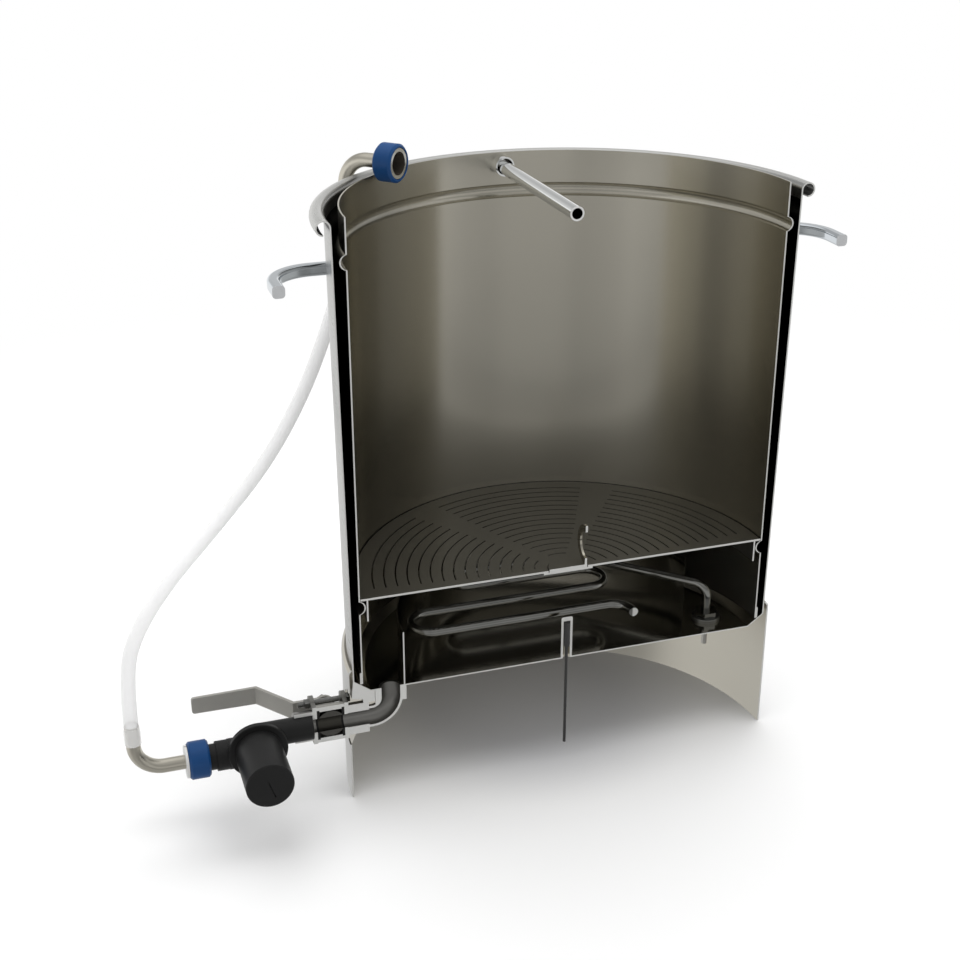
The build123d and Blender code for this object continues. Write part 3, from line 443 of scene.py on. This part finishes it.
panels = [                          # round the horizon, in degrees from +X: how bright it is
    (-180.0, 0.92),
    (-164.0, 0.88),
    (-158.0, 0.52),
    (-148.0, 0.57),
    (-140.0, 0.585),
    (-132.0, 0.52),
    (-124.0, 0.49),
    (-113.0, 0.465),
    (-103.0, 0.515),
    (-90.0, 0.52),
    (-76.0, 0.52),
    (-65.0, 0.475),
    (-54.0, 0.50),
    (-45.0, 0.55),
    (-38.0, 0.63),
    (-30.0, 0.70),
    (0.0, 0.95),
    (60.0, 0.85),
    (120.0, 0.85),
    (180.0, 0.92),
]


def feed(tree, socket, value):
    """Sets a node's input to a number or a colour, or links another node's output to it."""
    if isinstance(value, bpy.types.NodeSocket):
        tree.links.new(value, socket)
    elif isinstance(value, tuple):
        socket.default_value = (*value, 1.0)
    else:
        socket.default_value = value


def arithmetic(tree, operation, *values):
    """A Math node on numbers or sockets."""
    node = tree.nodes.new("ShaderNodeMath")
    node.operation = operation
    for socket, value in zip(node.inputs, values):
        feed(tree, socket, value)
    return node.outputs[0]


def point(tree, kind="Object"):
    """The X, Y and Z of a point on the piece, or of a direction in the world."""
    place = tree.nodes.new("ShaderNodeTexCoord")
    parts = tree.nodes.new("ShaderNodeSeparateXYZ")
    tree.links.new(place.outputs[kind], parts.inputs[0])
    return parts.outputs[0], parts.outputs[1], parts.outputs[2]


def combined(tree, *values):
    """A vector from three numbers or sockets."""
    node = tree.nodes.new("ShaderNodeCombineXYZ")
    for socket, value in zip(node.inputs, values):
        feed(tree, socket, value)
    return node.outputs[0]


def distance(tree, *offsets):
    """How far a point lies from an axis, from its two offsets."""
    squares = [arithmetic(tree, "MULTIPLY", offset, offset) for offset in offsets]
    return arithmetic(tree, "SQRT", arithmetic(tree, "ADD", *squares))


def eased(tree, value, low, high):
    """A soft step from 0 to 1 as a value goes from low to high."""
    node = tree.nodes.new("ShaderNodeMapRange")
    node.interpolation_type = "SMOOTHSTEP"
    feed(tree, node.inputs["Value"], value)
    feed(tree, node.inputs["From Min"], low)
    feed(tree, node.inputs["From Max"], high)
    return node.outputs[0]


def spread(tree, value, low, high):
    """A 0 to 1 socket spread between two values."""
    node = tree.nodes.new("ShaderNodeMapRange")
    feed(tree, node.inputs["Value"], value)
    feed(tree, node.inputs["To Min"], low)
    feed(tree, node.inputs["To Max"], high)
    return node.outputs[0]


def noise(tree, vector, detail, roughness):
    """Noise from 0 to 1 at a vector that is already scaled."""
    node = tree.nodes.new("ShaderNodeTexNoise")
    node.inputs["Scale"].default_value = 1.0
    node.inputs["Detail"].default_value = detail
    node.inputs["Roughness"].default_value = roughness
    tree.links.new(vector, node.inputs["Vector"])
    return node.outputs["Fac"]


def mixed(tree, factor, first, second, kind="MIX"):
    """Two colours mixed or multiplied."""
    node = tree.nodes.new("ShaderNodeMix")
    node.data_type = "RGBA"
    node.blend_type = kind
    for index, value in ((0, factor), (6, first), (7, second)):
        feed(tree, node.inputs[index], value)
    return node.outputs[2]


def bump(tree, height, strength, depth):
    """A bump from a height."""
    node = tree.nodes.new("ShaderNodeBump")
    node.inputs["Strength"].default_value = strength
    node.inputs["Distance"].default_value = depth
    tree.links.new(height, node.inputs["Height"])
    return node.outputs[0]


def group(name, inputs, outputs):
    """An empty shader group with float inputs and outputs: its tree and its two end nodes."""
    tree = bpy.data.node_groups.new(name, "ShaderNodeTree")
    for label, default in inputs:
        socket = tree.interface.new_socket(label, in_out="INPUT", socket_type="NodeSocketFloat")
        socket.default_value = default
    for label in outputs:
        tree.interface.new_socket(label, in_out="OUTPUT", socket_type="NodeSocketFloat")
    return tree, tree.nodes.new("NodeGroupInput"), tree.nodes.new("NodeGroupOutput")


def make_cut_face():
    """Mask of the faces that lie in the cut plane."""
    tree, _, end = group("cut face", [], ["Mask"])
    _, y, _ = point(tree)
    tree.links.new(arithmetic(tree, "LESS_THAN", y, section_depth), end.inputs["Mask"])
    return tree


def make_rolled_sheet():
    """Fine lines round the axis, as left by polishing a rolled sheet, and faint wide bands."""
    inputs = [("Lines per metre", sheet_lines)]
    tree, start, end = group("rolled sheet", inputs, ["Lines", "Bands"])
    per_metre = start.outputs["Lines per metre"]
    x, y, z = point(tree)
    angle = arithmetic(tree, "ARCTAN2", y, x)
    lines_at = combined(
        tree,
        arithmetic(tree, "MULTIPLY", angle, line_stretch),
        arithmetic(tree, "MULTIPLY", z, per_metre),
        arithmetic(tree, "MULTIPLY", distance(tree, x, y), per_metre))
    bands_at = combined(
        tree,
        arithmetic(tree, "MULTIPLY", angle, band_stretch),
        arithmetic(tree, "MULTIPLY", z, bands_per_metre),
        0.0)
    tree.links.new(noise(tree, lines_at, *line_noise), end.inputs["Lines"])
    tree.links.new(noise(tree, bands_at, *band_noise), end.inputs["Bands"])
    return tree


def make_turned_band():
    """Mask that grows from one direction round the axis to another, in degrees from +X."""
    tree, start, end = group("turned band", [("From", 0.0), ("To", 1.0)], ["Mask"])
    x, y, _ = point(tree)
    degrees = arithmetic(tree, "MULTIPLY", arithmetic(tree, "ARCTAN2", y, x), 180 / math.pi)
    mask = eased(tree, degrees, start.outputs["From"], start.outputs["To"])
    tree.links.new(mask, end.inputs["Mask"])
    return tree


def make_grain():
    """Even grain of a moulded, cast or blasted face, and slow variation under it."""
    tree, start, end = group("grain", [("Grains per metre", 2500.0)], ["Grain", "Clouds"])
    place = tree.nodes.new("ShaderNodeTexCoord")
    patterns = (
        ("Grain", start.outputs["Grains per metre"], grain_noise),
        ("Clouds", clouds_per_metre, cloud_noise),
    )
    for label, per_metre, kind in patterns:
        scaled = tree.nodes.new("ShaderNodeVectorMath")
        scaled.operation = "SCALE"
        tree.links.new(place.outputs["Object"], scaled.inputs[0])
        feed(tree, scaled.inputs["Scale"], per_metre)
        tree.links.new(noise(tree, scaled.outputs[0], *kind), end.inputs[label])
    return tree


def make_ring_band():
    """Mask of what lies between two radii round the axis, under a height.

    Slope is how much the radii grow per metre of height.
    """
    inputs = [("Slope", 0.0), ("From", 0.0), ("To", 1.0), ("Top", 1.0)]
    tree, start, end = group("ring band", inputs, ["Mask"])
    x, y, z = point(tree)
    grown = arithmetic(tree, "MULTIPLY", z, start.outputs["Slope"])
    straight = arithmetic(tree, "SUBTRACT", distance(tree, x, y), grown)
    outside = arithmetic(tree, "GREATER_THAN", straight, start.outputs["From"])
    inside = arithmetic(tree, "LESS_THAN", straight, start.outputs["To"])
    under = arithmetic(tree, "LESS_THAN", z, start.outputs["Top"])
    between = arithmetic(tree, "MULTIPLY", outside, inside)
    tree.links.new(arithmetic(tree, "MULTIPLY", between, under), end.inputs["Mask"])
    return tree


def make_rim_hollow():
    """Mask of the inside of the rolled rim."""
    tree, _, end = group("rim hollow", [], ["Mask"])
    x, y, z = point(tree)
    out = arithmetic(tree, "SUBTRACT", distance(tree, x, y), roll_radius)
    above = arithmetic(tree, "SUBTRACT", z, roll_height)
    mask = arithmetic(tree, "LESS_THAN", distance(tree, out, above), roll_hollow)
    tree.links.new(mask, end.inputs["Mask"])
    return tree


def make_pipe_mouth():
    """Mask of what lies inside the bore of the upper union."""
    tree, _, end = group("pipe mouth", [], ["Mask"])
    x, y, z = point(tree)
    turn = math.radians(return_angle)
    across = arithmetic(
        tree, "SUBTRACT",
        arithmetic(tree, "MULTIPLY", x, math.sin(turn)),
        arithmetic(tree, "MULTIPLY", y, math.cos(turn)))
    above = arithmetic(tree, "SUBTRACT", z, return_height)
    mask = arithmetic(tree, "LESS_THAN", distance(tree, across, above), mouth_radius)
    tree.links.new(mask, end.inputs["Mask"])
    return tree


def make_thread():
    """Screw thread along X, as a height."""
    tree, start, end = group("thread", [("Pitch", thread_pitch)], ["Height"])
    x, _, _ = point(tree)
    turns = arithmetic(tree, "DIVIDE", x, start.outputs["Pitch"])
    saw = arithmetic(tree, "PINGPONG", turns, 0.5)
    tree.links.new(arithmetic(tree, "MULTIPLY", saw, 2.0), end.inputs["Height"])
    return tree


def place_group(tree, kind, values):
    """A group placed in a material, with its own values: its outputs."""
    node = tree.nodes.new("ShaderNodeGroup")
    node.node_tree = groups[kind]
    for label, value in values.items():
        node.inputs[label].default_value = value
    return node.outputs


def blank(name):
    """A new material: itself, its tree and its shader."""
    material = bpy.data.materials.new(name)
    material.use_nodes = True
    return material, material.node_tree, material.node_tree.nodes["Principled BSDF"]


def cut_over(tree, shader, colour, metallic, cut, dull=None, share=0.0):
    """Sets colour and metal, with the cut faces paler and duller than the skin."""
    mask = place_group(tree, "cut_face", {})["Mask"]
    if dull:
        part = arithmetic(tree, "MULTIPLY", place_group(tree, "ring_band", dull)["Mask"], share)
        mask = arithmetic(tree, "MAXIMUM", mask, part)
    feed(tree, shader.inputs["Base Color"], mixed(tree, mask, colour, cut))
    feed(tree, shader.inputs["Metallic"], spread(tree, mask, metallic, cut_metal))
    return mask


def duller_cut(tree, rough, mask):
    """The skin's roughness, and the cut faces' own."""
    return arithmetic(tree, "MAXIMUM", rough, arithmetic(tree, "MULTIPLY", mask, cut_rough))


def sheet_steel(name, tone, dark, rough, zones=(), dull=None, share=0.0, brushed=0.0):
    """Stainless sheet with fine lines round the axis; the cut faces are pale."""
    material, tree, shader = blank(name)
    skin = place_group(tree, "rolled_sheet", {"Lines per metre": sheet_lines})
    colour = mixed(tree, skin["Bands"], dark, tone)
    # zones paint other tones on the sheet, among them painted shade and painted light
    for zone_tone, kind, values in zones:
        colour = mixed(tree, place_group(tree, kind, values)["Mask"], colour, zone_tone)
    mask = cut_over(tree, shader, colour, 1.0, cut_pale, dull, share)
    if brushed:
        along = tree.nodes.new("ShaderNodeTangent")
        along.direction_type = "RADIAL"
        along.axis = "Z"
        tree.links.new(along.outputs[0], shader.inputs["Tangent"])
        shader.inputs["Anisotropic"].default_value = brushed
        shader.inputs["Anisotropic Rotation"].default_value = brush_turn
    skin_rough = spread(tree, skin["Lines"], *rough)
    feed(tree, shader.inputs["Roughness"], duller_cut(tree, skin_rough, mask))
    feed(tree, shader.inputs["Normal"], bump(tree, skin["Lines"], sheet_bump, sheet_relief))
    return material


def solid_metal(name, tone, dark, rough, cut=None, grain=2500.0, relief=grain_relief,
                metallic=1.0):
    """Cast, drawn or turned metal with an even grain."""
    material, tree, shader = blank(name)
    skin = place_group(tree, "grain", {"Grains per metre": grain})
    colour = mixed(tree, skin["Clouds"], dark, tone)
    skin_rough = spread(tree, skin["Grain"], *rough)
    if cut is None:
        feed(tree, shader.inputs["Base Color"], colour)
        shader.inputs["Metallic"].default_value = metallic
    else:
        mask = cut_over(tree, shader, colour, metallic, cut)
        skin_rough = duller_cut(tree, skin_rough, mask)
    feed(tree, shader.inputs["Roughness"], skin_rough)
    feed(tree, shader.inputs["Normal"], bump(tree, skin["Grain"], grain_bump, relief))
    return material


def moulded(name, **values):
    """Moulded plastic, rubber or ceramic."""
    material = solid_metal(name, metallic=0.0, **values)
    shader = material.node_tree.nodes["Principled BSDF"]
    shader.inputs["Specular IOR Level"].default_value = plastic_gloss
    return material


def cut_thread(material):
    """Gives the bolts a thread along their length."""
    tree = material.node_tree
    height = place_group(tree, "thread", {"Pitch": thread_pitch})["Height"]
    shader = tree.nodes["Principled BSDF"]
    feed(tree, shader.inputs["Normal"], bump(tree, height, thread_bump, thread_relief))


def darken_bore(material):
    """Gives the bright ferrule a dark bore: painted shade inside it."""
    tree = material.node_tree
    shader = tree.nodes["Principled BSDF"]
    bore = place_group(tree, "pipe_mouth", {})["Mask"]
    skin = shader.inputs["Base Color"].links[0].from_socket
    feed(tree, shader.inputs["Base Color"], mixed(tree, bore, skin, painted_bore_shade))
    feed(tree, shader.inputs["Metallic"], spread(tree, bore, 1.0, mouth_metal))


def silicone(name, cover):
    """Milky translucent hose with a faint painted glow; cover is how much it hides."""
    material, tree, shader = blank(name)
    skin = place_group(tree, "grain", {"Grains per metre": silicone_grain})
    feed(tree, shader.inputs["Base Color"], mixed(tree, skin["Clouds"], *silicone_tones))
    feed(tree, shader.inputs["Roughness"], spread(tree, skin["Grain"], *silicone_rough))
    shader.inputs["Alpha"].default_value = cover
    shader.inputs["Emission Color"].default_value = (1, 1, 1, 1)
    shader.inputs["Emission Strength"].default_value = silicone_painted_glow
    return material


def finishes():
    """Every material, by the name of the finish."""
    made = {name: sheet_steel(name, **values) for name, values in SHEETS.items()}
    made.update({name: solid_metal(name, **values) for name, values in METALS.items()})
    made.update({name: moulded(name, **values) for name, values in MOULDINGS.items()})
    made.update({name: silicone(name, cover) for name, cover in SILICONES.items()})
    cut_thread(made["bolt steel"])
    darken_bore(made["union mouth"])
    return made


def finish_nodes(frame, finish):
    """Gives each solid of the frame its finish."""
    for name, kind in NODE_FINISH.items():
        for slot in frame["nodes"][name].material_slots:
            slot.material = finish[kind]


def link(data, name):
    """A new object in the scene."""
    made = bpy.data.objects.new(name, data)
    bpy.context.scene.collection.objects.link(made)
    return made


def flexible(name, points, radius, finish):
    """A smooth round line through a route's points."""
    curve = bpy.data.curves.new(name, "CURVE")
    curve.dimensions = "3D"
    curve.bevel_depth = radius
    curve.bevel_resolution = line_sides
    curve.resolution_u = line_steps
    curve.use_fill_caps = True
    spline = curve.splines.new("NURBS")
    spline.points.add(len(points) - 1)
    for knot, place in zip(spline.points, points):
        knot.co = (*place, 1.0)
    spline.order_u = 3
    spline.use_endpoint_u = True
    curve.materials.append(finish)
    return link(curve, name)


def hose(finish):
    """The milky hose between the two return pipes."""
    line = flexible("hose_line", hose_points, hose_radius, finish)
    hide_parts("return_hose")
    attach(line, "vessel")


def cuff(name, node, hose_end, towards, finish):
    """A hose end stretched over a pipe, with a soft shoulder where the pipe stops inside it."""
    mesh = bmesh.new()
    corners = [mesh.verts.new((radius, 0.0, height)) for radius, height in cuff_profile]
    edges = [mesh.edges.new(pair) for pair in zip(corners, corners[1:] + corners[:1])]
    bmesh.ops.spin(mesh, geom=corners + edges, cent=(0, 0, 0), axis=(0, 0, 1), angle=2 * math.pi,
                   steps=cuff_steps, use_merge=True)
    bmesh.ops.remove_doubles(mesh, verts=mesh.verts, dist=cuff_weld)
    bmesh.ops.recalc_face_normals(mesh, faces=mesh.faces)
    turn = Vector((0, 0, 1)).rotation_difference(towards).to_matrix().to_4x4()
    shift = Matrix.Translation(hose_end - towards * cuff_length)
    bmesh.ops.transform(mesh, matrix=shift @ turn, verts=mesh.verts)
    for face in mesh.faces:
        face.smooth = True
    data = bpy.data.meshes.new(name)
    mesh.to_mesh(data)
    mesh.free()
    data.materials.append(finish)
    piece = link(data, name)
    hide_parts(node)
    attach(piece, "vessel")


def probe_lead(finish):
    """The probe's lead, straight down under the kettle."""
    heights = (lead_top, (lead_top + lead_end) / 2, lead_end)
    line = flexible("probe_line", [(0, 0, height) for height in heights], lead_radius, finish)
    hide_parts("probe_lead")
    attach(line, "vessel")


def camera():
    """The camera in front of the cut side, a little above the rim and to the left."""
    yaw, pitch, roll = (math.radians(a) for a in (camera_yaw, camera_pitch, camera_roll))
    level = Vector((math.sin(yaw), math.cos(yaw), 0.0))
    forward = level * math.cos(pitch) - Vector((0.0, 0.0, math.sin(pitch)))
    right = Vector((math.cos(yaw), -math.sin(yaw), 0.0))
    down = forward.cross(right)
    right_rolled = math.cos(roll) * right + math.sin(roll) * down
    down_rolled = math.cos(roll) * down - math.sin(roll) * right
    data = bpy.data.cameras.new("view")
    data.sensor_width = camera_sensor
    data.lens = camera_lens
    data.clip_start, data.clip_end = camera_range
    made = link(data, "view")
    turn = Matrix((right_rolled, -down_rolled, -forward)).transposed().to_4x4()
    made.matrix_world = Matrix.Translation(camera_place) @ turn
    bpy.context.scene.camera = made


def background(tree, colour, strength):
    """A background of one colour or of a pattern."""
    node = tree.nodes.new("ShaderNodeBackground")
    feed(tree, node.inputs["Color"], colour)
    node.inputs["Strength"].default_value = strength
    return node.outputs[0]


def by_ray(tree, kind, seen, other):
    """One background for a kind of ray, another for the rest."""
    path = tree.nodes.new("ShaderNodeLightPath")
    mix = tree.nodes.new("ShaderNodeMixShader")
    for socket, value in zip(mix.inputs, (path.outputs[kind], other, seen)):
        tree.links.new(value, socket)
    return mix.outputs[0]


def strips_of(tree, position, table, tint=(1.0, 1.0, 1.0)):
    """A soft colour ramp over a 0 to 1 position, from a table of places and tones."""
    node = tree.nodes.new("ShaderNodeValToRGB")
    ramp = node.color_ramp
    ramp.interpolation = "EASE"
    while len(ramp.elements) < len(table):
        ramp.elements.new(0.5)
    for element, (place, tone) in zip(ramp.elements, table):
        element.position = place
        element.color = (*(tone * part for part in tint), 1)
    tree.links.new(position, node.inputs[0])
    return node.outputs[0]


def studio_world():
    """A white studio: reflections show panels of uneven brightness and a dark strip in front."""
    world = bpy.data.worlds.new("studio")
    bpy.context.scene.world = world
    world.use_nodes = True
    tree = world.node_tree
    tree.nodes.clear()
    x, y, z = point(tree, "Generated")
    rise = arithmetic(tree, "ADD", arithmetic(tree, "MULTIPLY", z, 0.5), 0.5)
    turns = arithmetic(tree, "DIVIDE", arithmetic(tree, "ARCTAN2", y, x), 2 * math.pi)
    heading = arithmetic(tree, "ADD", turns, 0.5)
    side_tone, front_tone = (
        strips_of(tree, rise, [((1 + sine) / 2, tone) for sine, tone in table])
        for table in (side_strips, front_strips))
    tone = mixed(tree, eased(tree, y, *front), side_tone, front_tone)
    round_table = [(0.5 + angle / 360, value) for angle, value in panels]
    round_tone = strips_of(tree, heading, round_table, studio_tint)
    mirrored = background(tree, mixed(tree, 1.0, tone, round_tone, "MULTIPLY"), mirror_light)
    unseen = by_ray(tree, "Is Glossy Ray", mirrored, background(tree, grey(1.0), soft_light))
    shown = by_ray(tree, "Is Camera Ray", background(tree, grey(1.0), 1.0), unseen)
    end = tree.nodes.new("ShaderNodeOutputWorld")
    tree.links.new(shown, end.inputs["Surface"])


def floor():
    """A pale floor that fades into the white surroundings away from the object."""
    mesh = bmesh.new()
    bmesh.ops.create_grid(mesh, x_segments=2, y_segments=2, size=floor_size / 2)
    data = bpy.data.meshes.new("studio_floor")
    mesh.to_mesh(data)
    mesh.free()
    material, tree, shader = blank("studio floor")
    x, y, _ = point(tree)
    far = eased(tree, distance(tree, x, y), *fade)
    # painted shadow under the kettle, darker towards its middle
    behind = arithmetic(tree, "SUBTRACT", y, painted_shadow_middle)
    under = eased(tree, distance(tree, x, behind), *painted_shadow_reach)
    near_tone = mixed(tree, under, floor_tone, painted_shadow_tone)
    feed(tree, shader.inputs["Base Color"], mixed(tree, far, near_tone, grey(0.0)))
    feed(tree, shader.inputs["Emission Strength"], far)
    shader.inputs["Emission Color"].default_value = (1, 1, 1, 1)
    shader.inputs["Roughness"].default_value = 1.0
    shader.inputs["Specular IOR Level"].default_value = 0.0
    data.materials.append(material)
    made = link(data, "studio_floor")
    made.location.z = -floor_drop
    made.visible_glossy = False


def lamp():
    """A large soft lamp above the object."""
    data = bpy.data.lights.new("top_lamp", "AREA")
    data.shape = "SQUARE"
    data.size = lamp_size
    data.energy = lamp_power
    made = link(data, "top_lamp")
    made.location = lamp_place
    aim = Vector(lamp_target) - Vector(lamp_place)
    made.rotation_euler = aim.to_track_quat("-Z", "Y").to_euler()
    made.visible_glossy = False


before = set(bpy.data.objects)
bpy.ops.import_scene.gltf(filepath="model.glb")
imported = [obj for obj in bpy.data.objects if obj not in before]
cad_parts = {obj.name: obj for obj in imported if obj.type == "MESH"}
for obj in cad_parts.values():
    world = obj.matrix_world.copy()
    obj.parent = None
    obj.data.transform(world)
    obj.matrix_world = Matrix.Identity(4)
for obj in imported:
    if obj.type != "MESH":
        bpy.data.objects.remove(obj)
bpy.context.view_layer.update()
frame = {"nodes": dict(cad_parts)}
groups = {
    "cut_face": make_cut_face(),
    "rolled_sheet": make_rolled_sheet(),
    "turned_band": make_turned_band(),
    "grain": make_grain(),
    "ring_band": make_ring_band(),
    "rim_hollow": make_rim_hollow(),
    "pipe_mouth": make_pipe_mouth(),
    "thread": make_thread(),
}
finish = finishes()
finish_nodes(frame, finish)
camera()
hose(finish["clear silicone"])
cuff("low_hose_end", "lower_hose_cuff", Vector(hose_points[0]), Vector((0, 0, 1)),
     finish["thin silicone"])
cuff("high_hose_end", "upper_hose_cuff", Vector(hose_points[-1]), Vector((0, 0, -1)),
     finish["thin silicone"])
probe_lead(finish["lead"])
studio_world()
floor()
lamp()
bpy.context.scene.view_settings.view_transform = "Standard"
